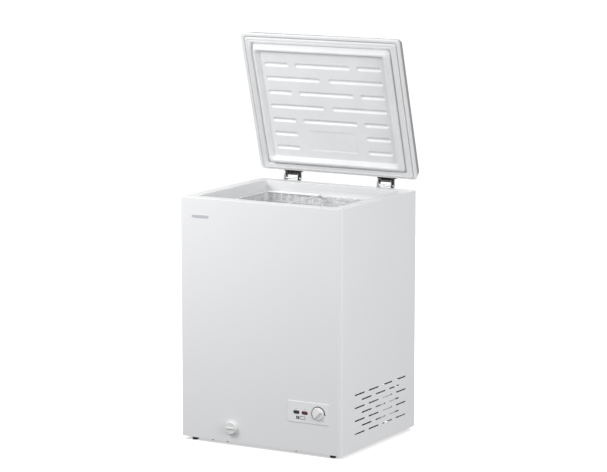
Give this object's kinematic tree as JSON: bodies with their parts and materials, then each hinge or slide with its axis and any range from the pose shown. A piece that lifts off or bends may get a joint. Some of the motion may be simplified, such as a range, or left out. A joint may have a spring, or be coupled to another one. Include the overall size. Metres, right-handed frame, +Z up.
{
  "type": "chest freezer",
  "caption": "White chest freezer with a rear-hinged lid, an aluminium-lined well over a machine bay, a lift-out wire basket, a dial and a front drain.",
  "frame": {"origin": "on the floor at the centre of the cabinet's footprint", "axes": "+Z up, the front with the controls faces -Y, +X is the right-hand side with the vent slots; at rest the lid is open"},
  "size_m": [0.593, 0.5665, 1.2923],
  "materials": {
    "white_enamel": "gloss",
    "galvanised": "satin",
    "embossed_aluminium": "satin",
    "white_plastic": "satin",
    "foam": "matte",
    "grey_plastic": "satin",
    "badge_grey": "gloss",
    "seal_white": "matte",
    "aluminium_tube": "satin",
    "copper": "satin",
    "black_rubber": "matte",
    "grey_rubber": "matte",
    "black_enamel": "satin",
    "black_plastic": "matte",
    "black_steel": "satin",
    "zinc_steel": "satin",
    "hinge_grey": "satin",
    "green_lens": "gloss",
    "red_lens": "gloss",
    "white_wire": "gloss"
  },
  "bodies": {
    "cabinet": {"back_panel": "white_enamel", "badge": "badge_grey", "bay_wall": "galvanised", "bottom_panel": "galvanised", "breaker_strip": "white_plastic", "cable_gland": "black_rubber", "compressor": "black_enamel", "compressor_base": "galvanised", "compressor_bolts": "zinc_steel", "compressor_grommets": "black_rubber", "condenser_coil": "copper", "control_box": "white_plastic", "control_fascia": "white_plastic", "discharge_tube": "copper", "drain_collar": "white_plastic", "drain_elbow": "white_plastic", "evaporator_coil": "aluminium_tube", "feet": "black_rubber", "filter_drier": "copper", "foot_screws": "zinc_steel", "hinge_pins": "zinc_steel", "hinge_springs": "black_steel", "hinge_stiffeners": "galvanised", "inner_liner": "embossed_aluminium", "insulation_foam": "foam", "left_hinge_base": "hinge_grey", "outer_shell": "white_enamel", "panel_screws": "zinc_steel", "power_lamp_lens": "green_lens", "rear_grille": "galvanised", "relay_cover": "white_plastic", "right_hinge_base": "hinge_grey", "run_lamp_lens": "red_lens", "sensor_bulb": "copper", "skirt_plugs": "black_rubber", "spring_rods": "zinc_steel", "start_relay": "black_plastic", "suction_tube": "copper", "thermostat": "black_plastic", "top_frame": "white_plastic"},
    "lid": {"left_hinge_leaf": "black_steel", "right_hinge_leaf": "black_steel", "hinge_leaf_screws": "zinc_steel", "lid_stiffeners": "galvanised", "lid_edge_trim": "grey_plastic", "lid_top_panel": "white_enamel", "lid_inner_liner": "white_plastic", "lid_foam": "foam", "lid_gasket": "seal_white"},
    "basket": {"basket_bottom_grid": "white_wire", "basket_frame": "white_wire", "basket_front_grid": "white_wire", "basket_left_grid": "white_wire", "basket_rear_grid": "white_wire", "basket_right_grid": "white_wire"},
    "dial": {"thermostat_dial": "white_plastic"},
    "spout": {"drain_spout": "white_plastic"},
    "drain_cap_body": {"drain_cap": "white_plastic"},
    "plug": {"drain_plug": "grey_rubber"}
  },
  "joints": [
    {"name": "lid_hinge", "type": "hinge", "parent": "cabinet", "child": "lid", "pos_m": [0, 0.264, 0.7995], "axis": [-1, 0, 0], "range_deg": [-73.7, 11]},
    {"name": "basket_lift", "type": "slide", "parent": "cabinet", "child": "basket", "axis": [0, 0, 1], "range_m": [0, 0.18]},
    {"name": "dial_turn", "type": "hinge", "parent": "cabinet", "child": "dial", "pos_m": [0.214, -0.26, 0.139], "axis": [0, 1, 0], "range_deg": [0, 235]},
    {"name": "drain_pull", "type": "slide", "parent": "cabinet", "child": "spout", "axis": [0, -1, 0], "range_m": [0, 0.022]},
    {"name": "drain_turn", "type": "hinge", "parent": "spout", "child": "drain_cap_body", "pos_m": [-0.105, -0.26, 0.059], "axis": [0, 1, 0], "range_deg": [0, 180]},
    {"name": "plug_lift", "type": "slide", "parent": "cabinet", "child": "plug", "axis": [0, 0, 1], "range_m": [0, 0.06]}
  ]
}
